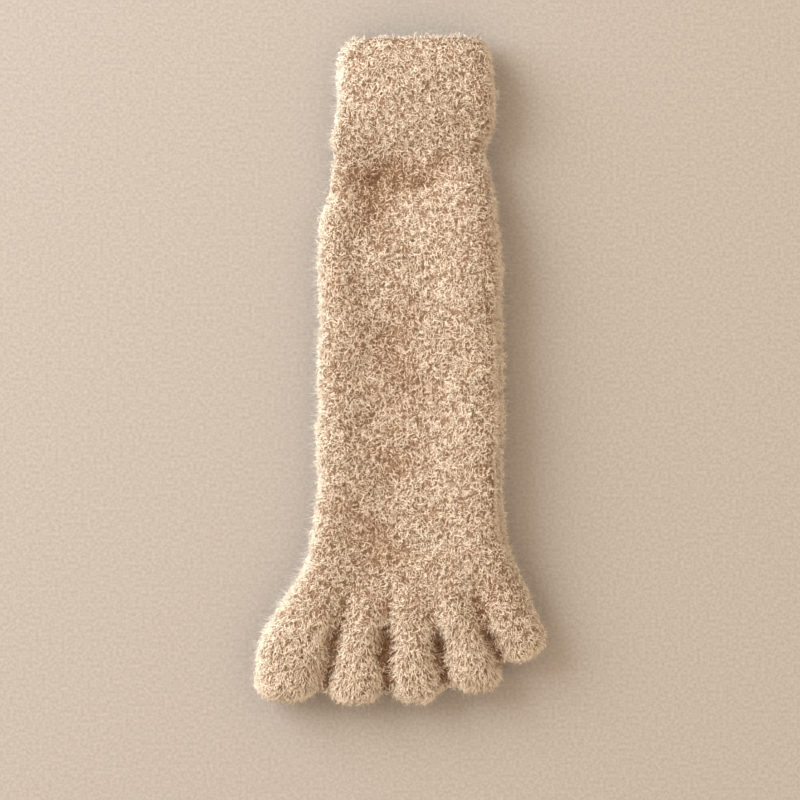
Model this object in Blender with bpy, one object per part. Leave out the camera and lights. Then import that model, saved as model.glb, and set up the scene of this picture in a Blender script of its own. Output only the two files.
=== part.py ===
"""A plush knitted toe sock for a left foot, lying flat with its instep up.

The sock is a soft tube with a gathered elastic cuff, a long leg and foot, and five
separate toe pockets. Its walls are a knitted ground and its deep pile together, and
every piece is hollow, so the hollow runs from the mouth of the cuff into each toe.

Units are metres, +Z is up and the sock rests on Z = 0. The mouth of the cuff faces +Y
and the toes point to -Y. The origin is on the floor, under the middle of the whole sock.
"""

import math
from collections import namedtuple

import bmesh
import bpy
from mathutils import Vector

# Driving dimensions, in metres
CUFF_LENGTH = 0.0655  # from the rim to the leg, along the middle
CUFF_WIDTH = 0.083
CUFF_HEIGHT = 0.0255
LEG_LENGTH = 0.2215  # from the cuff to the line where the toes part
LEG_WIDTH = 0.099
LEG_HEIGHT = 0.0275
BALL_WIDTH = 0.135  # across the roots of the five toes
BALL_HEIGHT = 0.0255
TOE_REACH = 0.046  # the longest toe, from the toe line to its tip
TOE_HEIGHT = 0.0235
WALL = 0.005  # the knitted ground and its pile together
CROWN = 0.0025  # how far the middle of the upper side stands above its edges
CUFF_SLANT = math.radians(13)  # the cuff's lower edge is this far off square
MOST_SUNK = 0.012  # where folds cross, the upper side still sinks no further

# Lesser sizes, in metres
JOIN_GAP = 0.0003  # between two pieces that meet
LEAST_ROUND = 0.0008  # the smallest rounding of a section's side
SLANT_FADE = 0.035  # how soon the slant dies out on either side of the cuff's edge
GROOVE_RUN = 0.020  # how far the grooves between the toes run up the foot
GROOVE_WIDTH = 0.0036
GROOVE_DEPTH = 0.0048
LIP_REACH = 0.0024  # the lower layer stands out this far along the right edge
LIP_CREASE = 0.0060  # and the crease above it is this deep
LIP_ANGLE, LIP_SPREAD = 2.15, 0.40  # the lip's place round the right side, in radians
CREASE_ANGLE, CREASE_SPREAD = 1.35, 0.45  # and the crease's

# Points round a section, and sections along a piece
TUBE_POINTS = {"top": 24, "side": 8, "bottom": 8}
TOE_POINTS = {"top": 8, "side": 6, "bottom": 2}
CUFF_SECTIONS = 7
LEG_SECTIONS = 28
RIM_SECTIONS = 5
TOE_SECTIONS = 6
TIP_SECTIONS = 5

# The sock's outline from the rim down. Each row lies a share of the cuff's or the leg's
# length down that piece. Left and right are shares of half the named width, from the
# sock's axis, and height is a share of the named height.
Row = namedtuple("Row", "piece down left right height")
OUTLINE = (
    Row("cuff", 0.00, 0.77, 0.87, 0.80),
    Row("cuff", 0.06, 0.87, 0.97, 0.88),
    Row("cuff", 0.17, 0.91, 1.03, 0.96),
    Row("cuff", 0.40, 0.93, 1.06, 1.00),
    Row("cuff", 0.65, 0.97, 1.07, 1.02),
    Row("cuff", 0.86, 0.96, 1.05, 0.98),
    Row("cuff", 1.00, 1.02, 0.97, 0.91),
    Row("leg", 0.045, 0.925, 0.83, 0.89),
    Row("leg", 0.09, 0.95, 0.88, 0.94),
    Row("leg", 0.18, 0.96, 0.94, 1.00),
    Row("leg", 0.32, 0.96, 0.98, 1.00),
    Row("leg", 0.55, 0.98, 1.005, 0.98),
    Row("leg", 0.72, 0.98, 0.995, 0.97),
    Row("leg", 0.81, 1.015, 1.02, 0.96),
    Row("leg", 0.88, 1.085, 1.09, 0.95),
    Row("ball", 0.94, 0.895, 0.875, 1.00),
    Row("ball", 1.00, 1.03, 0.957, 1.00),
)
HALF_WIDTHS = {"cuff": CUFF_WIDTH / 2, "leg": LEG_WIDTH / 2, "ball": BALL_WIDTH / 2}
HEIGHTS = {"cuff": CUFF_HEIGHT, "leg": LEG_HEIGHT, "ball": BALL_HEIGHT}

# Folds of the upper side, each along a straight line. Down is a share of the way from
# the rim to the toe line, and across a share of half the leg's width. The widths, to the
# left and the right of someone who walks along the line, are shares of the leg's width.
# The depths at the line's two ends are shares of the leg's height, negative for a ridge.
Fold = namedtuple("Fold", "down across down_end across_end left_hand right_hand depth depth_end")
FOLDS = (
    Fold(0.27, -0.18, 0.88, -0.30, 0.31, 0.250, 0.42, 0.36),  # long hollow, steep on its left
    Fold(0.225, -0.24, 0.36, -0.50, 0.10, 0.100, 0.12, 0.06),  # dent below the cuff
    Fold(0.27, -0.60, 0.20, 0.78, 0.040, 0.060, 0.12, 0.08),  # crease under the cuff's edge
    Fold(0.20, -0.10, 0.13, 0.80, 0.030, 0.035, 0.05, 0.07),  # lesser crease across the cuff
    Fold(0.27, 0.52, 0.90, 0.72, 0.10, 0.13, -0.09, -0.09),  # ridge along the right side
    Fold(0.02, -0.84, 0.24, -0.80, 0.27, 0.200, 0.25, 0.22),  # the cuff's left shoulder
)
LIP_FROM, LIP_TO, LIP_FADE = 0.42, 0.93, 0.10  # where the right edge shows its lower layer

# The lines between the toes, from the big toe's outer edge to the little toe's. Slope and
# bend are sideways moves over one TOE_REACH, as shares of it, towards +X.
Line = namedtuple("Line", "slope bend")
TOE_LINES = (
    Line(-0.62, 0.44),
    Line(-0.26, 0.02),
    Line(0.00, 0.01),
    Line(0.14, 0.00),
    Line(0.42, 0.00),
    Line(0.64, -0.90),
)

# The toes from left to right. Width is a share of BALL_WIDTH, the reaches of the two
# sides are shares of TOE_REACH, and height is a share of TOE_HEIGHT.
Toe = namedtuple("Toe", "name width left_reach right_reach height")
TOES = (
    Toe("big_toe_pocket", 0.267, 0.97, 1.00, 1.06),
    Toe("second_toe_pocket", 0.163, 1.00, 1.00, 1.00),
    Toe("third_toe_pocket", 0.178, 1.00, 1.00, 0.98),
    Toe("fourth_toe_pocket", 0.170, 0.92, 0.81, 0.98),
    Toe("little_toe_pocket", 0.222, 0.62, 0.42, 0.95),
)
TIP_SHARE = 0.42  # a toe starts to round off this share of its width before its tip
MOST_TIP = 0.75  # but never more than this share of its length
TIP_POWER = 2.6  # how blunt the tips are: 2 is an ellipse
MORPH_RUN = 0.012  # a toe turns from its square root to a round section over this length
ROUND_SHARE = 0.43  # the rounding of a toe's sides, as a share of its width

PLUSH_COLOUR = (0.60, 0.43, 0.30, 1.0)
CUFF_COLOUR = (0.63, 0.46, 0.33, 1.0)
KNIT_ROUGHNESS = 0.95

RIM_Y = CUFF_LENGTH + LEG_LENGTH + TOE_REACH
JOIN_Y = LEG_LENGTH + TOE_REACH
TOE_LINE_Y = TOE_REACH


def smooth(t):
    """0 before 0, 1 after 1, and a soft step between."""
    t = min(max(t, 0.0), 1.0)
    return t * t * (3 - 2 * t)


def mix(a, b, t):
    return a + (b - a) * t


def bump(x, middle, width):
    return math.exp(-(((x - middle) / width) ** 2))


def row_y(row):
    if row.piece == "cuff":
        return RIM_Y - row.down * CUFF_LENGTH
    return JOIN_Y - row.down * LEG_LENGTH


def through(rows, y):
    """The values of rows at y, on a smooth curve through them. A row is (y, values)."""
    for i in range(len(rows) - 1):
        if y >= rows[i + 1][0] or i == len(rows) - 2:
            break
    (y0, a), (y1, b) = rows[i], rows[i + 1]
    before = rows[max(i - 1, 0)]
    after = rows[min(i + 2, len(rows) - 1)]
    t = min(max((y - y0) / (y1 - y0), 0.0), 1.0)
    found = []
    for k in range(len(a)):
        slope_a = (b[k] - before[1][k]) / (y1 - before[0]) * (y1 - y0)
        slope_b = (after[1][k] - a[k]) / (after[0] - y0) * (y1 - y0)
        found.append(
            (2 * t**3 - 3 * t**2 + 1) * a[k]
            + (t**3 - 2 * t**2 + t) * slope_a
            + (3 * t**2 - 2 * t**3) * b[k]
            + (t**3 - t**2) * slope_b
        )
    return found


OUTLINE_ROWS = [
    (
        row_y(row),
        (
            row.left * HALF_WIDTHS[row.piece],
            row.right * HALF_WIDTHS[row.piece],
            row.height * HEIGHTS[row.piece],
        ),
    )
    for row in OUTLINE
]
ROOT_LEFT, ROOT_RIGHT, ROOT_HEIGHT = through(OUTLINE_ROWS, TOE_LINE_Y)


def line_root(number):
    """Where a line between the toes starts, on the toe line."""
    share = sum(toe.width for toe in TOES[:number])
    return mix(-ROOT_LEFT, ROOT_RIGHT, share)


def line_point(number, reach):
    """A point on a line between the toes, reach metres below the toe line."""
    line = TOE_LINES[number]
    q = reach / TOE_REACH
    x = line_root(number) + TOE_REACH * (line.slope * q + line.bend * q * q)
    return Vector((x, TOE_LINE_Y - reach))


def fold_place(down, across):
    return Vector((across * LEG_WIDTH / 2, mix(RIM_Y, TOE_LINE_Y, down)))


def fold_depth(fold, point):
    """How far one fold sinks the upper side at a point of the plan."""
    start = fold_place(fold.down, fold.across)
    run = fold_place(fold.down_end, fold.across_end) - start
    along = run.normalized()
    place = along.dot(point - start)
    off = along.cross(point - start)
    past = max(-place, place - run.length, 0.0)
    width = (fold.left_hand if off > 0 else fold.right_hand) * LEG_WIDTH
    end_width = (fold.left_hand + fold.right_hand) / 2 * LEG_WIDTH
    depth = mix(fold.depth, fold.depth_end, min(max(place / run.length, 0.0), 1.0))
    return depth * LEG_HEIGHT * bump(off, 0, width) * bump(past, 0, end_width)


def groove_depth(number, point):
    """How far the groove above one line between the toes sinks the upper side."""
    root = line_point(number, 0.0)
    run = Vector((-TOE_LINES[number].slope, 1.0)) * GROOVE_RUN
    t = min(max((point - root).dot(run) / run.length_squared, 0.0), 1.0)
    away = (point - root - run * t).length
    return GROOVE_DEPTH * smooth(1 - t) * bump(away, 0, GROOVE_WIDTH)


def sunk(x, y):
    """How far the folds and the grooves between the toes sink the upper side."""
    point = Vector((x, y))
    depth = sum(fold_depth(fold, point) for fold in FOLDS)
    depth += sum(groove_depth(number, point) for number in range(1, len(TOES)))
    return MOST_SUNK * math.tanh(depth / MOST_SUNK)


def tube_top(x, y, left, right, height):
    """The outer height of the cuff, leg and foot, crowned and sunk along its folds."""
    across = (2 * x + left - right) / (left + right)
    return height - CROWN * across**2 - sunk(x, y)


def slant_at(y):
    return math.tan(CUFF_SLANT) * bump(y, JOIN_Y, SLANT_FADE)


# One section: its two ends on the plan, the heights of its underside and, as a function
# of the place across it, its upper side, the rounding of its sides, and the lip's share.
Section = namedtuple("Section", "left right floor top left_round right_round lip")


def tube_section(y, inset):
    """The section of the cuff, leg and foot at y. inset is 0 outside and WALL inside."""
    left, right, height = through(OUTLINE_ROWS, y)
    slant = slant_at(y)
    ends = [Vector((x, y + slant * x)) for x in (inset - left, right - inset)]
    half = (ends[1] - ends[0]).length / 2
    middle, across = (ends[0] + ends[1]) / 2, (ends[1] - ends[0]).normalized()

    def top(v):
        place = middle + across * v
        return tube_top(place.x, place.y, left, right, height) - inset

    side_round = max(height / 2 - inset, LEAST_ROUND)
    down = (RIM_Y - y) / (RIM_Y - TOE_LINE_Y)
    lip = smooth((down - LIP_FROM) / LIP_FADE) * smooth((LIP_TO - down) / LIP_FADE)
    return Section(ends[0], ends[1], inset, top, side_round, side_round, lip)


def tip_factor(t, rounding):
    """1 along a toe, falling to 0 at its tip, t = 1. rounding is the tip's share of t."""
    u = max((t - 1 + rounding) / rounding, 0.0)
    return max(1 - u**TIP_POWER, 0.0) ** (1 / TIP_POWER)


def toe_section(number, t, inset):
    """The section of a toe from t = 0, on the toe line, to t = 1, its tip."""
    toe = TOES[number]
    start = JOIN_GAP / 2
    left = line_point(number, mix(start, toe.left_reach * TOE_REACH - inset, t))
    right = line_point(number + 1, mix(start, toe.right_reach * TOE_REACH - inset, t))
    across = (right - left).normalized()
    left_inset = inset + (JOIN_GAP / 2 if number > 0 else 0.0)
    right_inset = inset + (JOIN_GAP / 2 if number < len(TOES) - 1 else 0.0)
    left, right = left + across * left_inset, right - across * right_inset

    reach = (toe.left_reach + toe.right_reach) / 2 * TOE_REACH - inset
    width = (right - left).length
    factor = tip_factor(t, min(TIP_SHARE * width / reach, MOST_TIP))
    middle, half = (left + right) / 2, width / 2 * factor
    morph = smooth(t * reach / MORPH_RUN)

    height = toe.height * TOE_HEIGHT
    centre = height / 2
    root_x = (line_root(number) + line_root(number + 1)) / 2

    def top(v):
        over_root = tube_top(root_x + v, TOE_LINE_Y, ROOT_LEFT, ROOT_RIGHT, ROOT_HEIGHT)
        return mix(centre, mix(over_root, height, morph) - inset, factor)

    outer_round = max(ROOT_HEIGHT / 2 - inset, LEAST_ROUND)
    round_width = max(ROUND_SHARE * (width + 2 * inset) - inset, LEAST_ROUND)
    rounds = [
        mix(outer_round if outer else LEAST_ROUND, round_width, morph) * factor
        for outer in (number == 0, number == len(TOES) - 1)
    ]
    floor = mix(centre, inset, factor)
    ends = middle - across * half, middle + across * half
    return Section(ends[0], ends[1], floor, top, rounds[0], rounds[1], 0.0)


def side_arc(section, points, sign):
    """Points round one side, from the upper side down: (place across, height)."""
    half = (section.right - section.left).length / 2
    rounding = section.right_round if sign > 0 else section.left_round
    flat = half - rounding
    high = section.top(sign * flat)
    found = []
    for j in range(1, points):
        angle = math.pi * j / points
        reach = flat + rounding * math.sin(angle)
        if sign > 0:
            lip = LIP_REACH * bump(angle, LIP_ANGLE, LIP_SPREAD)
            crease = LIP_CREASE * bump(angle, CREASE_ANGLE, CREASE_SPREAD)
            reach += section.lip * (lip - crease)
        height = mix(section.floor, high, (1 + math.cos(angle)) / 2)
        found.append((sign * reach, height))
    return found


def ring(section, counts):
    """The section's points, in space: over the top to the right, then back underneath."""
    half = (section.right - section.left).length / 2
    first, last = section.left_round - half, half - section.right_round
    places = []
    for i in range(counts["top"] + 1):
        v = mix(first, last, i / counts["top"])
        places.append((v, section.top(v)))
    places += side_arc(section, counts["side"], 1)
    for i in range(counts["bottom"] + 1):
        places.append((mix(last, first, i / counts["bottom"]), section.floor))
    places += reversed(side_arc(section, counts["side"], -1))
    middle = (section.left + section.right) / 2
    across = (section.right - section.left).normalized()
    return [(middle + across * v).to_3d() + Vector((0, 0, z)) for v, z in places]


def spaced(start, end, count):
    return [mix(start, end, i / count) for i in range(count + 1)]


def tube_rings(ys, inset):
    return [ring(tube_section(y, inset), TUBE_POINTS) for y in ys]


def cuff_rings():
    """Up the outside of the cuff, over its rounded rim and down the inside."""
    half_wall = WALL / 2
    ys = spaced(JOIN_Y + JOIN_GAP / 2, RIM_Y - half_wall, CUFF_SECTIONS)
    rings = tube_rings(ys[:-1], 0.0)
    for step in range(RIM_SECTIONS + 1):
        angle = math.pi * step / RIM_SECTIONS
        y = RIM_Y - half_wall * (1 - math.sin(angle))
        rings += tube_rings([y], half_wall * (1 - math.cos(angle)))
    return rings + tube_rings(reversed(ys[:-1]), WALL)


def leg_rings():
    """Down the outside of the leg and foot, and back up the inside."""
    ys = spaced(JOIN_Y - JOIN_GAP / 2, TOE_LINE_Y + JOIN_GAP / 2, LEG_SECTIONS)
    return tube_rings(ys, 0.0) + tube_rings(reversed(ys), WALL)


def toe_skin(number, inset):
    """A toe's rings from its root to its tip, and the point at the tip."""
    toe = TOES[number]
    reach = (toe.left_reach + toe.right_reach) / 2 * TOE_REACH - inset
    width = toe.width * (ROOT_LEFT + ROOT_RIGHT) - 2 * inset
    body = 1 - min(TIP_SHARE * width / reach, MOST_TIP)
    stations = spaced(0.0, body, TOE_SECTIONS)
    for step in range(1, TIP_SECTIONS):
        angle = math.pi / 2 * step / TIP_SECTIONS
        stations.append(body + (1 - body) * math.sin(angle))
    rings = [ring(toe_section(number, t, inset), TOE_POINTS) for t in stations]
    end = toe_section(number, 1.0, inset)
    tip = ((end.left + end.right) / 2).to_3d() + Vector((0, 0, end.floor))
    return rings, tip


def bridge(mesh, first, second):
    """Faces between two rings of corners."""
    count = len(first)
    for i in range(count):
        j = (i + 1) % count
        mesh.faces.new((first[i], first[j], second[j], second[i]))


def close_tip(mesh, corners, tip):
    for i, corner in enumerate(corners):
        mesh.faces.new((corner, corners[(i + 1) % len(corners)], tip))


def place_object(name, mesh, colour):
    """Turns a bmesh into a named, smooth-shaded object with its own material."""
    bmesh.ops.recalc_face_normals(mesh, faces=mesh.faces)
    data = bpy.data.meshes.new(name)
    mesh.to_mesh(data)
    mesh.free()
    data.materials.append(make_material(name + "_knit", colour))
    data.shade_smooth()
    piece = bpy.data.objects.new(name, data)
    bpy.context.scene.collection.objects.link(piece)
    return piece


def make_tube(name, rings, colour):
    """A hollow tube, from rings that run down one side of its wall and up the other."""
    mesh = bmesh.new()
    corners = [[mesh.verts.new(point) for point in points] for points in rings]
    for i, row in enumerate(corners):
        bridge(mesh, row, corners[(i + 1) % len(corners)])
    return place_object(name, mesh, colour)


def make_toe(number, colour):
    """A hollow pocket that is open where it meets the foot and closed at its tip."""
    mesh = bmesh.new()
    roots = []
    for inset in (0.0, WALL):
        rings, tip = toe_skin(number, inset)
        corners = [[mesh.verts.new(point) for point in points] for points in rings]
        for first, second in zip(corners, corners[1:]):
            bridge(mesh, first, second)
        close_tip(mesh, corners[-1], mesh.verts.new(tip))
        roots.append(corners[0])
    bridge(mesh, *roots)
    return place_object(TOES[number].name, mesh, colour)


def make_material(name, colour):
    material = bpy.data.materials.new(name)
    material.use_nodes = True
    shader = material.node_tree.nodes["Principled BSDF"]
    shader.inputs["Base Color"].default_value = colour
    shader.inputs["Roughness"].default_value = KNIT_ROUGHNESS
    shader.inputs["Metallic"].default_value = 0.0
    return material


def clear_scene():
    for existing in list(bpy.data.objects):
        bpy.data.objects.remove(existing)


def centre_on_floor(pieces):
    """Moves all the pieces so that the origin is under the middle of the whole sock."""
    corners = [vertex.co for piece in pieces for vertex in piece.data.vertices]
    lowest = [min(corner[axis] for corner in corners) for axis in range(3)]
    highest = [max(corner[axis] for corner in corners) for axis in range(3)]
    middle = [(low + high) / 2 for low, high in zip(lowest, highest)]
    for piece in pieces:
        piece.location = (-middle[0], -middle[1], -lowest[2])


def make_sock():
    clear_scene()
    pieces = [
        make_tube("cuff", cuff_rings(), CUFF_COLOUR),
        make_tube("leg_and_foot", leg_rings(), PLUSH_COLOUR),
    ]
    pieces += [make_toe(number, PLUSH_COLOUR) for number in range(len(TOES))]
    centre_on_floor(pieces)


make_sock()
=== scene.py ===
"""The looks of a plush toe sock that lies flat: its knitted ground and its deep pile.

The ground is one seamless hollow skin, fused from the pieces of the frame. The pile is
many short curly strands of yarn that grow in tufts from the ground. Lengths are in
metres, in the frame's own axes: +Y towards the cuff, +Z up, the floor at Z = 0.
"""

import math
from collections import namedtuple

import bpy
import numpy as np
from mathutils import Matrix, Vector
from mathutils.bvhtree import BVHTree
from mathutils.kdtree import KDTree


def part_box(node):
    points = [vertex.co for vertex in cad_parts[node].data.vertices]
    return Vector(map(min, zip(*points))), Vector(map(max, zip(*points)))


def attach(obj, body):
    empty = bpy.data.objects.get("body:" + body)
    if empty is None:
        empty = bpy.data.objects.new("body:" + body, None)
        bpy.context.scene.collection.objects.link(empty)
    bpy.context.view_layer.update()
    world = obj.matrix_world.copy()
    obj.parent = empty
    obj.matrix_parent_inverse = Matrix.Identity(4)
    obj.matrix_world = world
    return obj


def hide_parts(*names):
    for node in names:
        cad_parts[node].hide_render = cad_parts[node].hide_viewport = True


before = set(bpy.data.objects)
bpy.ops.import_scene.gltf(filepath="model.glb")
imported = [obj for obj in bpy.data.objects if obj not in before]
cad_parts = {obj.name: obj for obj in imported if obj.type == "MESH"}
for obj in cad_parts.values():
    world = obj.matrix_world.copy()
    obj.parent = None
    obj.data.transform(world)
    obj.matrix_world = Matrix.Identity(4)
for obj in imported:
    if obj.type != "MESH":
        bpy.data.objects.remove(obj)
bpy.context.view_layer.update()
RNG = np.random.default_rng(4127)

# The photo's frame
METRES_PER_PIXEL = 0.0005
PHOTO_WIDTH = 800
PHOTO_CENTRE = (0.0, -0.0145)
CAMERA_HEIGHT = 1.9
SENSOR = 36.0

# The ground
GROUND_VOXEL = 0.0024
GROUND_SMOOTHING = 4
PILE_DEPTH = 0.0030  # the knit lies this far under the solids' skin, outside
LINING_DEPTH = 0.0006  # and this far under it inside
KNIT_THICKNESS = 0.0011  # what is left of the wall at least
SKIN_FADE = 3  # rounds of averaging where the outside turns into the inside
Lump = namedtuple("Lump", "size height seed")  # soft unevenness of the outside
LUMPS = (Lump(0.021, 0.0006, 60), Lump(0.0085, 0.00012, 61))

# The mouth: its middle line (x and z) and its half width and height
MOUTH_MIDDLE = (0.007, 0.0092)
MOUTH_HALVES = (0.036, 0.009)
RIM_RUN = 0.009  # the rim keeps its thickness this far down, and fades out as far again
RIM_TURN = 2.0  # how soon the rim's outside turns into its inside
RIM_START = 0.2  # and how far it counts as outside where it faces neither way

# The mouth's lower lip, drawn in a little under the upper one
LIP_RUN = 0.012
LIP_HEIGHT = 0.0085  # what lies lower than this near the mouth is the lower lip
LIP_TUCK = 0.0035

# Slight dents (or swellings, where the depth is negative) in the sock's upper side
Dent = namedtuple("Dent", "x y half_width half_length depth")
DENTS = (
    Dent(-0.0160, 0.074, 0.012, 0.019, 0.0018),  # deeper on the left, below the cuff
    Dent(0.0100, 0.102, 0.011, 0.006, -0.0022),  # fuller in the middle, under its edge
)
UPPER_SIDE = 0.0065  # what lies higher than this is the sock's upper side

# The pile
MOUTH_PILE = 0.016  # how far the pile shows inside the mouth of the cuff
RIM_PILE = 0.007  # and how far it is as dense there as outside
FOOT_REACH = 0.055  # the foot's part of the pile, from the toes up
UNDERSIDE = -0.35  # faces whose normals point lower than this are the sock's underside
SIDES = 0.85  # and those whose normals rise less than this have fuzz too
TUFT_SPACING = 0.0023
TUFTS_TO_TRY = 5  # each strand joins the nearest of these that grows on its own side
SAME_SIDE = 0.2  # normals whose product is more than this are on one side of the knit

# Folds whose pile has painted shade: how wide they are, the depths where the painted shade begins and
# is full, and its blur
Fold = namedtuple("Fold", "reach least full blur")
FOLDS = (
    Fold(0.030, 0.0005, 0.0043, 0.0075),  # hollows
    Fold(0.012, 0.0004, 0.0011, 0.0012),  # grooves between the toes
    Fold(0.005, 0.0003, 0.0008, 0.0010),  # creases
)
SAME_SHEET = 0.38  # points that lie higher than this share of the reach are another layer
SAME_SLOPE = 0.3  # and so are those that face another way
FLOOR_CLEARANCE = 0.0002
CLEAR_OF_SKIN = 0.0004  # rays start this far off the face that they leave
WIDEST_WALL = 0.02

# Angles of the slanting rays, away from the mouth, and how little they may leave a face
RAY_LIFTS = (-1.2, -0.7, -0.2, 0.3, 0.8, 1.3, math.pi / 2)
RAY_TURNS = (-3.0, -2.5, -2.0, -1.2, -0.6, -0.1)
RAY_SLANT = 0.1

# How the strands grow
COMBED = 0.012  # how soon the pile turns to run down the toes
TOE_FLOW = -1.8  # how firmly it does
DOWN_FLOW = -0.3  # and how firmly it runs down the rest of the sock
SIDE_FLOW = 4.0  # how firmly it runs out to both sides, for each metre off the middle
ROOT_DEPTH = 0.0006  # strands start this far inside the knit
TIP_HASTE = 0.8  # how much shorter a strand's last stretches are than its first
RING_SIZES = (0.85, 1.0)  # each ring of a strand, as a share of its radius
UV_MARGIN = 0.08  # each strand has a cell of the texture, with this margin around it
FULL_HEIGHT = 0.0013  # yarn this high in the pile has its palest colour; lower yarn has painted shade
SOFTNESS = 1.2  # how far the pile shades as one soft surface, not strand by strand

# Kinds of strand. Rise and droop are the angles off the ground at its root and at its
# tip, and spread is how far it strays from the lean of its tuft.
Strand = namedtuple("Strand", "levels length radius rise droop spread")
CURL = Strand(2, 0.0038, 0.00017, 1.35, -0.55, 1.10)
TOE_CURL = Strand(2, 0.0046, 0.00017, 1.20, -0.40, 0.90)
FILAMENT = Strand(1, 0.0027, 0.00012, 0.75, 0.40, 1.30)
UNDER_CURL = Strand(2, 0.0044, 0.00036, 0.80, 0.00, 0.50)
FUZZ = Strand(1, 0.0068, 0.00007, 1.15, 0.95, 0.90)

# Strands on each square metre
PILE_DENSITY = 1.58e6
BELOW_DENSITY = 0.20e6
MOUTH_DENSITY = 0.45e6
FILAMENT_DENSITY = 1.35e6
FUZZ_DENSITY = 0.90e6

# How much strands differ from each other, and how much from one tuft to the next
CURL_SPREAD = 1.3
RISE_SPREAD = 0.16
DROOP_SPREAD = 0.25
TONE_SPREAD = 0.95
TUFT_RISE_SPREAD = 0.10
TUFT_LENGTH_SPREAD = 0.12
TUFT_TONE_SPREAD = 0.08
LENGTH_RANGE = (0.70, 1.30)
RADIUS_RANGE = (0.75, 1.2)

# Colours of the yarn, from the roots to the tips, darker low down as painted shade deep in the pile
WHITE = (1.0, 1.0, 1.0)
Yarn = namedtuple("Yarn", "roots body tips")
PLUSH = Yarn((0.34, 0.19, 0.09), (0.91, 0.735, 0.565), (0.90, 0.755, 0.60))
CUFF = Yarn((0.36, 0.21, 0.11), (0.92, 0.75, 0.585), (0.91, 0.77, 0.62))
PALE = Yarn((0.63, 0.50, 0.375), (0.69, 0.575, 0.46), (0.73, 0.635, 0.53))
FOLD_SHADE = -0.80  # painted shade: strands deep in a fold take the darker colours from nearer the root

# The mix node's colour sockets, which share their names with others
MIX_FIRST = 6
MIX_SECOND = 7
MIX_RESULT = 2

# The floor and the lights
FLOOR_HALF = 3.0
FLOOR_TONES = ((0.262, 0.224, 0.190), (0.330, 0.284, 0.242))
WINDOW_PLACE = (-1.55, 0.84, 0.94)
WINDOW_SIZE = 1.8
WINDOW_POWER = 90.0
WINDOW_COLOUR = (0.78, 0.89, 1.0)
ROOM_COLOUR = (1.0, 0.865, 0.71)
ROOM_STRENGTH = 1.47


def unit(vectors):
    """Each row of vectors at length 1."""
    length = np.linalg.norm(vectors, axis=1, keepdims=True)
    return vectors / np.maximum(length, 1e-9)


def soft_noise(points, size, seed):
    """Smooth values from about -1 to 1 that change over size, from a few plane waves."""
    rng = np.random.default_rng(seed)
    waves = unit(rng.normal(size=(9, 3))) * (2 * math.pi / size)
    waves *= rng.uniform(0.6, 1.5, size=(9, 1))
    phases = rng.uniform(0, 2 * math.pi, size=9)
    return np.sin(points @ waves.T + phases).sum(axis=1) / 3.0


# The knitted ground


def vertex_places(mesh):
    places = np.empty(len(mesh.vertices) * 3, np.float32)
    mesh.vertices.foreach_get("co", places)
    return places.reshape(-1, 3).astype(float)


def skin_tree(mesh):
    """A tree of the mesh's faces, for rays."""
    return BVHTree.FromPolygons(
        [vertex.co for vertex in mesh.vertices], [face.vertices for face in mesh.polygons]
    )


def vertex_normals(mesh):
    normals = np.empty(len(mesh.vertices) * 3, np.float32)
    mesh.vertex_normals.foreach_get("vector", normals)
    return normals.reshape(-1, 3).astype(float)


def joined_nodes(name):
    """One mesh that holds a copy of every node of the frame."""
    places, faces, first = [], [], 0
    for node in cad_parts.values():
        mesh = node.data
        places += [vertex.co[:] for vertex in mesh.vertices]
        faces += [[first + i for i in face.vertices] for face in mesh.polygons]
        first += len(mesh.vertices)
    mesh = bpy.data.meshes.new(name)
    mesh.from_pydata(places, [], faces)
    return mesh


def apply_modifiers(piece):
    """Puts the result of a piece's modifiers in its mesh."""
    graph = bpy.context.evaluated_depsgraph_get()
    mesh = bpy.data.meshes.new_from_object(piece.evaluated_get(graph))
    piece.modifiers.clear()
    piece.data = mesh


def spread_out(mesh, values, rounds):
    """Values at the vertices, averaged with their neighbours' some rounds long."""
    ends = np.empty(len(mesh.edges) * 2, np.int32)
    mesh.edges.foreach_get("vertices", ends)
    first, second = ends.reshape(-1, 2).T
    count = len(values)
    near = 1 + np.bincount(first, minlength=count) + np.bincount(second, minlength=count)
    for _ in range(rounds):
        total = values + np.bincount(first, values[second], count)
        total += np.bincount(second, values[first], count)
        values = total / near
    return values


def outer_share(mesh, kinds):
    """1 at vertices on the outside of the wall, 0 on the inside, and between at the rim."""
    sizes = np.empty(len(mesh.polygons), np.int32)
    mesh.polygons.foreach_get("loop_total", sizes)
    corners = np.empty(len(mesh.loops), np.int32)
    mesh.loops.foreach_get("vertex_index", corners)
    outside = np.repeat((kinds == 1).astype(float), sizes)
    share = np.bincount(corners, outside) / np.bincount(corners)
    return spread_out(mesh, share, SKIN_FADE)


def rim_share(places, normals):
    """1 where a vertex near the rim faces away from the mouth's middle line, 0 where it
    faces it, and 1 everywhere else."""
    outward = np.zeros_like(places)
    outward[:, 0] = (places[:, 0] - MOUTH_MIDDLE[0]) / MOUTH_HALVES[0] ** 2
    outward[:, 2] = (places[:, 2] - MOUTH_MIDDLE[1]) / MOUTH_HALVES[1] ** 2
    share = np.clip(RIM_TURN * (normals * unit(outward)).sum(axis=1) + RIM_START, 0.0, 1.0)
    away = np.clip((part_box("cuff")[1].y - places[:, 1]) / RIM_RUN - 1, 0.0, 1.0)
    return share + (1 - share) * away


def wall_thickness(mesh):
    """The wall's thickness at each vertex, straight in from the skin."""
    tree = skin_tree(mesh)
    thickness = np.full(len(mesh.vertices), WIDEST_WALL)
    for vertex in mesh.vertices:
        start = vertex.co - vertex.normal * CLEAR_OF_SKIN
        hit = tree.ray_cast(start, -vertex.normal, WIDEST_WALL)
        if hit[0] is not None:
            thickness[vertex.index] = hit[3] + CLEAR_OF_SKIN
    return thickness


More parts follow.
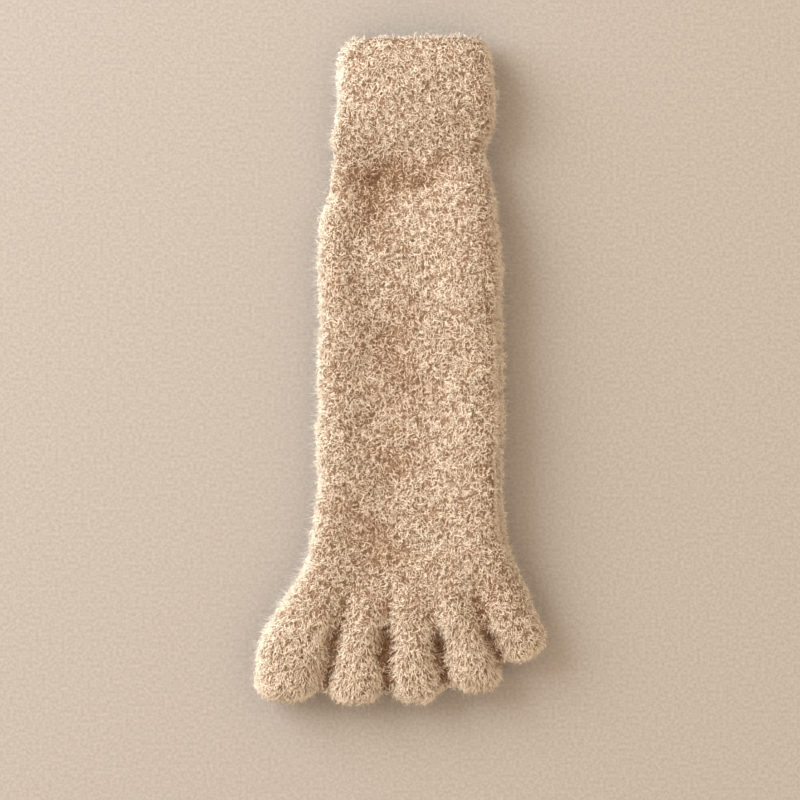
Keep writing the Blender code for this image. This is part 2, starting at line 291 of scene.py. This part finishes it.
def sink(mesh, kinds):
    """Where the vertices lie once the skin is drawn in, to leave room for the pile."""
    places = vertex_places(mesh)
    share = np.minimum(outer_share(mesh, kinds), rim_share(places, vertex_normals(mesh)))
    depth = np.full(len(places), PILE_DEPTH - LINING_DEPTH)
    for lump in LUMPS:
        depth -= lump.height * soft_noise(places, lump.size, lump.seed)
    depth = LINING_DEPTH + depth * share
    depth = np.minimum(depth, wall_thickness(mesh) - LINING_DEPTH - KNIT_THICKNESS)
    depth = spread_out(mesh, np.maximum(depth, 0.0), 1)
    return places - vertex_normals(mesh) * depth[:, None]


def tuck_lip(places):
    """Draws in the mouth's lower lip."""
    near_rim = np.clip((places[:, 1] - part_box("cuff")[1].y) / LIP_RUN + 1, 0.0, 1.0)
    places[:, 1] -= LIP_TUCK * (near_rim * (places[:, 2] < LIP_HEIGHT)) ** 2


def press_dents(places):
    """Presses the dents into the upper side."""
    for dent in DENTS:
        away = ((places[:, 0] - dent.x) / dent.half_width) ** 2
        away += ((places[:, 1] - dent.y) / dent.half_length) ** 2
        places[:, 2] -= dent.depth * np.exp(-away) * (places[:, 2] > UPPER_SIDE)


def fused_ground():
    """The sock's knitted skin, seamless from the cuff to the toes, and hollow."""
    ground = bpy.data.objects.new("knitted_ground", joined_nodes("knitted_ground"))
    bpy.context.scene.collection.objects.link(ground)
    remesh = ground.modifiers.new("fuse", "REMESH")
    remesh.mode = "VOXEL"
    remesh.voxel_size = GROUND_VOXEL
    smooth = ground.modifiers.new("smooth", "SMOOTH")
    smooth.iterations = GROUND_SMOOTHING
    apply_modifiers(ground)
    mesh = ground.data
    kinds = face_kinds(mesh)
    places = sink(mesh, kinds)
    tuck_lip(places)
    press_dents(places)
    places[:, 2] = np.maximum(places[:, 2], FLOOR_CLEARANCE)
    mesh.vertices.foreach_set("co", places.astype(np.float32).ravel())
    mesh.update()
    mesh.shade_smooth()
    return ground, kinds


def face_kinds(mesh):
    """For each face of the ground: 0 deep inside, 1 outside, 2 just inside the mouth.

    A face is outside where a ray from it, straight or slanting, leaves the sock.
    """
    tree = skin_tree(mesh)
    around = [
        Vector((math.cos(turn) * math.cos(lift), math.sin(turn) * math.cos(lift), math.sin(lift)))
        for lift in RAY_LIFTS
        for turn in RAY_TURNS
    ]
    kinds = np.zeros(len(mesh.polygons), int)
    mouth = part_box("cuff")[1].y - MOUTH_PILE
    for face in mesh.polygons:
        start = face.center + face.normal * CLEAR_OF_SKIN
        if tree.ray_cast(start, face.normal)[0] is None:
            kinds[face.index] = 1
        elif face.center.y > mouth:
            kinds[face.index] = 2
        else:
            for direction in around:
                if direction.dot(face.normal) < RAY_SLANT:
                    continue
                if tree.ray_cast(start, direction)[0] is None:
                    kinds[face.index] = 1
                    break
    return kinds


# The pile


def scattered(mesh, chosen, density):
    """Points spread evenly at random over the chosen faces, with the normals there."""
    normals = vertex_normals(mesh)
    places = vertex_places(mesh)
    corners = []
    for index in chosen:
        face = mesh.polygons[index].vertices
        for third in range(1, len(face) - 1):
            corners.append((face[0], face[third], face[third + 1]))
    corners = np.array(corners, int).reshape(-1, 3)
    a, b, c = (places[corners[:, k]] for k in range(3))
    areas = np.linalg.norm(np.cross(b - a, c - a), axis=1) / 2
    carried = np.cumsum(areas * density) + RNG.uniform()
    counts = np.floor(carried) - np.floor(np.concatenate([[0.0], carried[:-1]]))
    picked = np.repeat(np.arange(len(corners)), counts.astype(int))
    r1, r2 = RNG.uniform(size=(2, len(picked)))
    r1 = np.sqrt(r1)
    shares = np.stack([1 - r1, r1 * (1 - r2), r1 * r2], axis=1)[:, :, None]
    points = (places[corners[picked]] * shares).sum(axis=1)
    normal = unit((normals[corners[picked]] * shares).sum(axis=1))
    return points, normal


class Tufts:
    """Points all over the sock, each with a lean, a curl and a tone for its strands."""

    def __init__(self, outside, inside):
        points, normals = (np.concatenate(pair) for pair in zip(outside, inside))
        count = len(points)
        toes = 1 / (1 + np.exp((points[:, 1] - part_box("big_toe_pocket")[1].y) / COMBED))
        flow = np.stack(
            [
                0.35 * soft_noise(points, 0.05, 11) + SIDE_FLOW * points[:, 0],
                0.30 * soft_noise(points, 0.06, 12) + DOWN_FLOW + TOE_FLOW * toes,
                0.20 * soft_noise(points, 0.05, 13),
            ],
            axis=1,
        )
        self.lean = unit(RNG.normal(size=(count, 3))) + flow
        self.curl = RNG.normal(0.0, 1.0, size=count)
        self.tone = RNG.normal(0.0, 1.0, size=count)
        self.rise = RNG.normal(0.0, 1.0, size=count)
        self.normals = normals
        self.tree = KDTree(count)
        for index, point in enumerate(points):
            self.tree.insert(point, index)
        self.tree.balance()
        self.shade = np.zeros(count)
        self.shade[: len(outside[0])] = self.fold_shade(*outside)

    def fold_shade(self, points, normals):
        """How deep each outer tuft lies in a fold, which sets its strands' painted shade: 0 on open
        ground, 1 in a deep fold.
        """
        shade = np.zeros(len(points))
        every = range(len(points))
        for fold in FOLDS:
            depths = np.array([self.depth(points, normals, i, fold.reach) for i in every])
            share = np.clip((depths - fold.least) / (fold.full - fold.least), 0.0, 1.0)
            blurred = [share[self.around(points, i, fold.blur)].mean() for i in every]
            shade = np.maximum(shade, blurred)
        return shade

    def around(self, points, index, reach):
        """The outer tufts within reach of one of them. They come first in the tree."""
        near = np.array([found[1] for found in self.tree.find_range(points[index], reach)])
        return near[near < len(points)]

    def depth(self, points, normals, index, reach):
        """How far the knit rises on both sides of a point, across the way it rises most."""
        normal = normals[index]
        across = np.cross(normal, (normal[2], normal[0], normal[1]))
        sides = np.stack([across, np.cross(normal, across)])
        near = self.around(points, index, reach)
        near = near[normals[near] @ normal > SAME_SLOPE]
        offset = points[near] - points[index]
        rise = offset @ normal
        level = abs(rise) < SAME_SHEET * reach
        offset, rise = offset[level], rise[level]
        place = np.where(offset @ sides.T > 0, 1.0, 0.0)
        count = place.sum(axis=0)
        right = rise @ place / np.maximum(count, 1.0)
        left = (rise.sum() - rise @ place) / np.maximum(len(rise) - count, 1.0)
        return np.minimum(left, right).max()

    def nearest(self, points, normals):
        """The tuft of each point: the nearest that grows on the same side of the knit."""
        chosen = []
        for point, normal in zip(points, normals):
            near = [found[1] for found in self.tree.find_n(point, TUFTS_TO_TRY)]
            same = [index for index in near if self.normals[index] @ normal > SAME_SIDE]
            chosen.append((same or near)[0])
        return np.array(chosen)


def strand_mesh(name, rings, tips, facing, tone, shade, height):
    """A mesh of closed three-sided strands.

    rings is (strand, ring, corner, xyz), tips and tone, shade and height have a row for
    each strand, and facing has the normal of each vertex.
    """
    count, levels = rings.shape[:2]
    per_strand = levels * 3 + 1
    places = np.concatenate([rings.reshape(count, -1, 3), tips[:, None]], axis=1)
    faces = [(2, 1, 0)]
    heights = [(0.0, 0.0, 0.0)]
    sides = [(0.7, 0.4, 0.1)]
    for level in range(levels):
        low, high = level / levels, (level + 1) / levels
        for corner in range(3):
            after = (corner + 1) % 3
            left, right = corner / 3 + 0.02, (corner + 1) / 3 - 0.02
            base = level * 3
            if level < levels - 1:
                faces.append((base + corner, base + after, base + 3 + after, base + 3 + corner))
                heights.append((low, low, high, high))
                sides.append((left, right, right, left))
            else:
                faces.append((base + corner, base + after, per_strand - 1))
                heights.append((low, low, high))
                sides.append((left, right, (left + right) / 2))
    sizes = np.array([len(face) for face in faces])
    loops = np.concatenate([np.array(face) for face in faces])
    starts = np.concatenate([[0], np.cumsum(sizes)[:-1]])
    all_loops = (loops[None, :] + np.arange(count)[:, None] * per_strand).ravel()
    all_starts = (starts[None, :] + np.arange(count)[:, None] * len(loops)).ravel()

    mesh = bpy.data.meshes.new(name)
    mesh.vertices.add(count * per_strand)
    mesh.vertices.foreach_set("co", places.astype(np.float32).ravel())
    mesh.loops.add(len(all_loops))
    mesh.loops.foreach_set("vertex_index", all_loops.astype(np.int32))
    mesh.polygons.add(count * len(faces))
    mesh.polygons.foreach_set("loop_start", all_starts.astype(np.int32))
    mesh.update(calc_edges=True)

    cells = math.ceil(math.sqrt(count))
    column, row = np.arange(count) % cells, np.arange(count) // cells
    inner = 1 - 2 * UV_MARGIN
    u = np.concatenate([np.array(side) for side in sides])
    v = np.concatenate([np.array(height) for height in heights])
    u = (column[:, None] + UV_MARGIN + inner * u[None, :]) / cells
    v = (row[:, None] + UV_MARGIN + inner * v[None, :]) / cells
    layer = mesh.uv_layers.new(name="OFBake")
    layer.uv.foreach_set("vector", np.stack([u, v], axis=2).astype(np.float32).ravel())

    high = np.repeat(height, [3] * levels + [1], axis=1)
    for label, values in (
        ("pile_tone", np.repeat(tone, per_strand)),
        ("pile_shade", np.repeat(shade, per_strand)),
        ("pile_height", high.ravel()),
    ):
        layer = mesh.attributes.new(label, "FLOAT", "POINT")
        layer.data.foreach_set("value", values.astype(np.float32))
    mesh.shade_smooth()
    mesh.normals_split_custom_set_from_vertices(facing)
    return mesh


def grow(name, points, normals, tufts, material, strand):
    """A piece of pile: a curly strand from each point, in the manner of its tuft."""
    count = len(points)
    levels = strand.levels
    tuft = tufts.nearest(points, normals)
    lean = tufts.lean[tuft] + RNG.normal(0.0, strand.spread, size=(count, 3))
    lean = unit(lean - normals * (lean * normals).sum(axis=1, keepdims=True))
    side = np.cross(normals, lean)
    lift = tufts.rise[tuft]
    curl = tufts.curl[tuft] + RNG.normal(0.0, CURL_SPREAD, size=count)
    rise = strand.rise + TUFT_RISE_SPREAD * lift + RNG.normal(0.0, RISE_SPREAD, size=count)
    droop = strand.droop + TUFT_RISE_SPREAD * lift + RNG.normal(0.0, DROOP_SPREAD, size=count)
    lengths = strand.length * (1 + TUFT_LENGTH_SPREAD * lift) * RNG.uniform(*LENGTH_RANGE, size=count)
    radius = strand.radius * RNG.uniform(*RADIUS_RANGE, size=count)
    tone = TUFT_TONE_SPREAD * tufts.tone[tuft] + RNG.normal(0.0, TONE_SPREAD, size=count)
    shade = tufts.shade[tuft]

    centre = points - normals * ROOT_DEPTH
    height = np.zeros((count, levels + 1))
    rings = np.empty((count, levels, 3, 3))
    facing = np.empty((count, levels * 3 + 1, 3))
    soft = SOFTNESS * normals * np.clip(normals[:, 2:] + 0.5, 0.0, 1.0)
    runs = 1 - TIP_HASTE * np.arange(levels) / levels
    runs /= runs.sum()
    for level, run in enumerate(runs):
        share = runs[:level].sum() + run / 2
        azimuth = curl * (share - 0.2)
        elevation = rise * (1 - share) + droop * share
        along = lean * np.cos(azimuth)[:, None] + side * np.sin(azimuth)[:, None]
        direction = along * np.cos(elevation)[:, None] + normals * np.sin(elevation)[:, None]
        u = unit(np.cross(direction, side + 0.15 * normals))
        v = np.cross(direction, u)
        thickness = radius * RING_SIZES[level]
        for corner in range(3):
            angle = 2 * math.pi * corner / 3
            around = u * math.cos(angle) + v * math.sin(angle)
            rings[:, level, corner] = centre + around * thickness[:, None]
            facing[:, level * 3 + corner] = around + soft
        centre = centre + direction * (lengths * run)[:, None]
        height[:, level + 1] = ((centre - points) * normals).sum(axis=1) / FULL_HEIGHT
    facing[:, -1] = direction + soft
    facing = unit(facing.reshape(-1, 3))
    rings[..., 2] = np.maximum(rings[..., 2], FLOOR_CLEARANCE)
    centre[:, 2] = np.maximum(centre[:, 2], 2 * FLOOR_CLEARANCE)
    mesh = strand_mesh(name, rings, centre, facing, tone, shade, height)
    piece = bpy.data.objects.new(name, mesh)
    bpy.context.scene.collection.objects.link(piece)
    piece.data.materials.append(material)
    return piece


# Materials


def node_material(name):
    """A new material, its nodes, its links and its shader."""
    material = bpy.data.materials.new(name)
    material.use_nodes = True
    tree = material.node_tree
    return material, tree.nodes, tree.links, tree.nodes["Principled BSDF"]


def ramp(nodes, stops):
    """A colour ramp with the given (place, colour) stops."""
    node = nodes.new("ShaderNodeValToRGB")
    elements = node.color_ramp.elements
    while len(elements) < len(stops):
        elements.new(0.5)
    for element, (place, colour) in zip(elements, stops):
        element.position = place
        element.color = (*colour, 1.0)
    return node


def scaled(nodes, links, source, factor, offset):
    """A value times a factor, plus an offset."""
    node = nodes.new("ShaderNodeMath")
    node.operation = "MULTIPLY_ADD"
    node.inputs[1].default_value = factor
    node.inputs[2].default_value = offset
    links.new(source, node.inputs[0])
    return node.outputs[0]


def tinted(nodes, links, colour, ramp_node, source):
    """A colour times the colour that a ramp gives for a value."""
    links.new(source, ramp_node.inputs["Fac"])
    node = nodes.new("ShaderNodeMix")
    node.data_type = "RGBA"
    node.blend_type = "MULTIPLY"
    node.inputs["Factor"].default_value = 1.0
    links.new(colour, node.inputs[MIX_FIRST])
    links.new(ramp_node.outputs["Color"], node.inputs[MIX_SECOND])
    return node.outputs[MIX_RESULT]


def noise(nodes, links, scale, detail):
    """Noise in the object's own space, with a few cells for each metre as scale says."""
    place = nodes.new("ShaderNodeTexCoord")
    node = nodes.new("ShaderNodeTexNoise")
    node.inputs["Scale"].default_value = scale
    node.inputs["Detail"].default_value = detail
    links.new(place.outputs["Object"], node.inputs["Vector"])
    return node.outputs["Fac"]


def attribute(nodes, name):
    """A value that the mesh holds for each vertex."""
    node = nodes.new("ShaderNodeAttribute")
    node.attribute_name = name
    return node.outputs["Fac"]


def pile_material(name, yarn):
    """Yarn with painted shade low in the pile and in folds, and tones by strand and patch."""
    material, nodes, links, shader = node_material(name)
    shade = attribute(nodes, "pile_shade")
    tone = attribute(nodes, "pile_tone")
    # painted shade: yarn low in the pile, and deeper still in folds, takes the darker colours nearer
    # the roots
    height = nodes.new("ShaderNodeMath")
    height.operation = "ADD"
    links.new(attribute(nodes, "pile_height"), height.inputs[0])
    links.new(scaled(nodes, links, shade, FOLD_SHADE, 0.0), height.inputs[1])
    along = ramp(nodes, ((0.0, yarn.roots), (0.7, yarn.body), (1.0, yarn.tips)))
    links.new(height.outputs[0], along.inputs["Fac"])
    tones = ramp(nodes, ((0.0, (0.45, 0.36, 0.28)), (0.5, (0.95, 0.94, 0.92)), (0.75, WHITE)))
    specks = ramp(nodes, ((0.30, (0.66, 0.59, 0.52)), (0.52, WHITE)))
    patches = ramp(nodes, ((0.3, (0.93, 0.91, 0.89)), (0.7, WHITE)))
    # painted shade in folds: the deeper the fold, the darker and browner the yarn
    painted_fold_shade = ramp(nodes, ((0.0, WHITE), (0.5, (0.85, 0.76, 0.68)), (1.0, (0.40, 0.26, 0.17))))
    colour = along.outputs["Color"]
    for colours, source in (
        (tones, scaled(nodes, links, tone, 0.22, 0.55)),
        (specks, noise(nodes, links, 1500.0, 1.0)),
        (patches, noise(nodes, links, 45.0, 3.0)),
        (painted_fold_shade, shade),
    ):
        colour = tinted(nodes, links, colour, colours, source)
    links.new(colour, shader.inputs["Base Color"])
    links.new(scaled(nodes, links, tone, 0.05, 0.78), shader.inputs["Roughness"])
    shader.inputs["Sheen Weight"].default_value = 0.25
    shader.inputs["Sheen Roughness"].default_value = 0.45
    shader.inputs["Specular IOR Level"].default_value = 0.25
    return material


def ground_material():
    """The knit under the pile: rows of small loops, coloured dark as painted shade under the pile."""
    material, nodes, links, shader = node_material("knitted_ground")
    # painted shade: the knit is coloured as dark as the shade deep under the pile
    tones = ramp(nodes, ((0.3, (0.15, 0.085, 0.045)), (0.7, (0.24, 0.140, 0.078))))
    links.new(noise(nodes, links, 220.0, 3.0), tones.inputs["Fac"])
    links.new(tones.outputs["Color"], shader.inputs["Base Color"])
    place = nodes.new("ShaderNodeTexCoord")
    wales = nodes.new("ShaderNodeTexWave")
    wales.inputs["Scale"].default_value = 130.0
    wales.inputs["Distortion"].default_value = 2.5
    wales.inputs["Detail Scale"].default_value = 3.0
    links.new(place.outputs["Object"], wales.inputs["Vector"])
    bump = nodes.new("ShaderNodeBump")
    bump.inputs["Strength"].default_value = 0.7
    bump.inputs["Distance"].default_value = 0.0006
    links.new(wales.outputs["Fac"], bump.inputs["Height"])
    links.new(bump.outputs["Normal"], shader.inputs["Normal"])
    links.new(scaled(nodes, links, wales.outputs["Fac"], 0.1, 0.85), shader.inputs["Roughness"])
    shader.inputs["Sheen Weight"].default_value = 0.2
    shader.inputs["Specular IOR Level"].default_value = 0.2
    return material


# The sock


def face_values(mesh, kind):
    """The centre or the normal of every face."""
    values = np.empty(len(mesh.polygons) * 3, np.float32)
    mesh.polygons.foreach_get(kind, values)
    return values.reshape(-1, 3).astype(float)


Patch = namedtuple("Patch", "name chosen material density strand slot")


def pile_patches(mesh, kinds):
    """The pieces of the pile: where each grows, how densely, and of what."""
    plush = pile_material("plush_pile", PLUSH)
    cuff = pile_material("cuff_pile", CUFF)
    pale = pile_material("pale_fuzz", PALE)

    y = face_values(mesh, "center")[:, 1]
    up = face_values(mesh, "normal")[:, 2]
    toe_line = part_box("big_toe_pocket")[1].y
    foot_line = toe_line + FOOT_REACH
    cuff_line = (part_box("cuff")[0].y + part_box("leg_and_foot")[1].y) / 2
    middle = (foot_line + cuff_line) / 2
    rim = (kinds == 2) & (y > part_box("cuff")[1].y - RIM_PILE)
    mouth = (kinds == 2) & ~rim
    seen = (kinds == 1) & (up > UNDERSIDE) | rim
    below = (kinds == 1) & ~seen
    sides = seen & (up < SIDES)

    welt = seen & (y > cuff_line)
    leg = seen & (y <= cuff_line) & (y > foot_line)
    foot = seen & (y <= foot_line)
    upper = y > middle
    toes = y <= toe_line
    return (
        Patch("pile_of_cuff", welt, cuff, PILE_DENSITY, CURL, "cuff_knit"),
        Patch("pile_of_upper_leg", leg & upper, plush, PILE_DENSITY, CURL, "plush_knit"),
        Patch("pile_of_lower_leg", leg & ~upper, plush, PILE_DENSITY, CURL, "plush_knit"),
        Patch("pile_of_foot", foot & ~toes, plush, PILE_DENSITY, CURL, "plush_knit"),
        Patch("pile_of_toes", foot & toes, plush, PILE_DENSITY, TOE_CURL, "plush_knit"),
        Patch("pile_below_leg", below & upper, plush, BELOW_DENSITY, UNDER_CURL, "plush_knit"),
        Patch("pile_below_foot", below & ~upper, plush, BELOW_DENSITY, UNDER_CURL, "plush_knit"),
        Patch("pile_inside_mouth", mouth, cuff, MOUTH_DENSITY, UNDER_CURL, "cuff_knit"),
        Patch("filaments_of_cuff", welt, cuff, FILAMENT_DENSITY, FILAMENT, "cuff_knit"),
        Patch("filaments_of_leg", leg, plush, FILAMENT_DENSITY, FILAMENT, "plush_knit"),
        Patch("filaments_of_foot", foot, plush, FILAMENT_DENSITY, FILAMENT, "plush_knit"),
        Patch("fuzz_of_leg", sides & upper, pale, FUZZ_DENSITY, FUZZ, "plush_knit"),
        Patch("fuzz_of_foot", sides & ~upper, pale, FUZZ_DENSITY, FUZZ, "plush_knit"),
    )


def make_sock():
    """The knitted ground, which stands in for all the solids, and the pile on it."""
    ground, kinds = fused_ground()
    mesh = ground.data
    mesh.materials.append(ground_material())
    outside = scattered(mesh, np.nonzero(kinds == 1)[0], TUFT_SPACING**-2)
    inside = scattered(mesh, np.nonzero(kinds == 2)[0], TUFT_SPACING**-2)
    tufts = Tufts(outside, inside)
    for patch in pile_patches(mesh, kinds):
        points, normals = scattered(mesh, np.nonzero(patch.chosen)[0], patch.density)
        piece = grow(patch.name, points, normals, tufts, patch.material, patch.strand)
        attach(piece, "root")
    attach(ground, "root")
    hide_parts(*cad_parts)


# The floor, the lights and the camera


def make_floor():
    """A plain pale surface with a faint grain."""
    mesh = bpy.data.meshes.new("floor")
    signs = ((-1, -1), (1, -1), (1, 1), (-1, 1))
    corners = [(x * FLOOR_HALF, y * FLOOR_HALF, 0.0) for x, y in signs]
    mesh.from_pydata(corners, [], [(0, 1, 2, 3)])
    floor = bpy.data.objects.new("floor", mesh)
    bpy.context.scene.collection.objects.link(floor)
    material, nodes, links, shader = node_material("pale_floor")
    tones = ramp(nodes, ((0.30, FLOOR_TONES[0]), (0.70, FLOOR_TONES[1])))
    links.new(noise(nodes, links, 620.0, 3.0), tones.inputs["Fac"])
    links.new(tones.outputs["Color"], shader.inputs["Base Color"])
    shader.inputs["Roughness"].default_value = 0.9
    shader.inputs["Specular IOR Level"].default_value = 0.2
    mesh.materials.append(material)


def make_lights():
    """A large cool window on the left, and warm soft light from the room."""
    data = bpy.data.lights.new("window", "AREA")
    data.shape = "DISK"
    data.size = WINDOW_SIZE
    data.energy = WINDOW_POWER
    data.color = WINDOW_COLOUR
    window = bpy.data.objects.new("window", data)
    window.location = WINDOW_PLACE
    window.rotation_euler = (-Vector(WINDOW_PLACE)).to_track_quat("-Z", "Y").to_euler()
    bpy.context.scene.collection.objects.link(window)
    world = bpy.data.worlds.new("studio")
    world.use_nodes = True
    sky = world.node_tree.nodes["Background"]
    sky.inputs["Color"].default_value = (*ROOM_COLOUR, 1.0)
    sky.inputs["Strength"].default_value = ROOM_STRENGTH
    bpy.context.scene.world = world
    bpy.context.scene.view_settings.view_transform = "Standard"


def make_camera():
    """Straight above, with a lens that gives each pixel of the photo its real size."""
    data = bpy.data.cameras.new("camera")
    data.sensor_width = SENSOR
    data.lens = SENSOR * CAMERA_HEIGHT / (PHOTO_WIDTH * METRES_PER_PIXEL)
    data.clip_end = 10.0
    camera = bpy.data.objects.new("camera", data)
    camera.location = (*PHOTO_CENTRE, CAMERA_HEIGHT)
    bpy.context.scene.collection.objects.link(camera)
    bpy.context.scene.camera = camera


make_camera()
make_floor()
make_lights()
make_sock()
